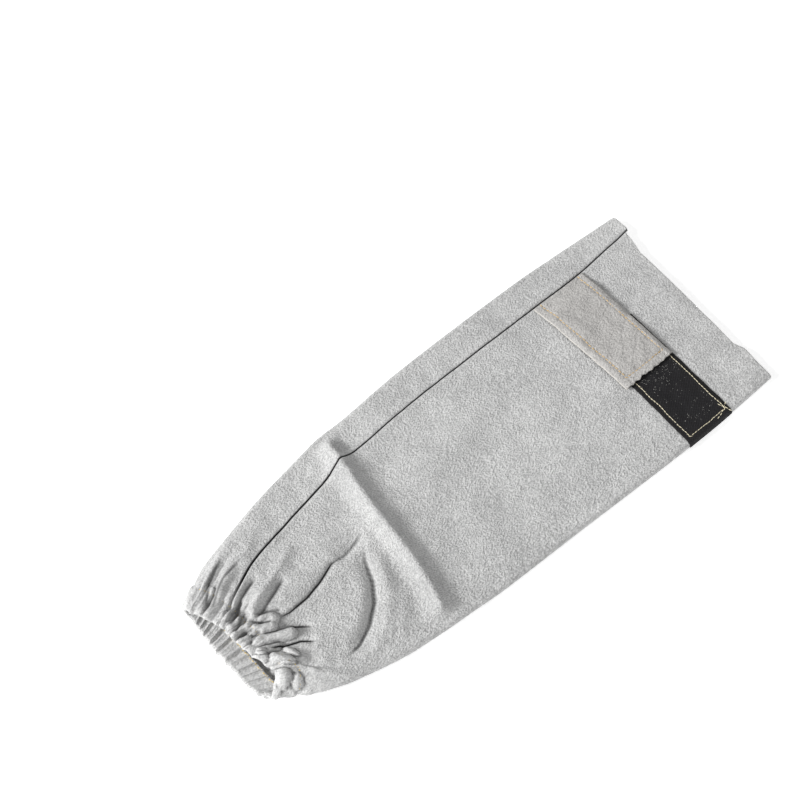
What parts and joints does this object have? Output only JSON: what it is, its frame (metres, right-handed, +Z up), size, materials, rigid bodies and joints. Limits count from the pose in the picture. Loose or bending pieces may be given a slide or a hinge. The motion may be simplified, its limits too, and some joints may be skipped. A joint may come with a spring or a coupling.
{
  "type": "welding sleeve",
  "caption": "Split-leather arm sleeve for welding: a flat-lying tube with a gathered elastic cuff, a side seam, and a leather tab that closes on a hook-and-loop patch at the open end.",
  "frame": {"origin": "middle of the footprint, on the surface that the sleeve lies on", "axes": "+X from the gathered cuff to the open upper-arm end, +Y towards the side seam, +Z up from the surface"},
  "size_m": [0.527, 0.216, 0.0262],
  "materials": {
    "split_leather": "pale grey split cowhide with a napped suede face",
    "tab_leather": "slightly darker and warmer grey split cowhide, raw cut edges",
    "hook_tape": "black woven tape with moulded hooks",
    "loop_tape": "black woven tape with a brushed loop pile and smooth selvedges",
    "elastic_band": "off-white woven elastic"
  },
  "bodies": {
    "root": {"sleeve_panel": "split_leather", "closure_tab": "tab_leather", "tab_hook_strip": "hook_tape", "loop_patch": "loop_tape", "cuff_elastic": "elastic_band"}
  },
  "joints": []
}
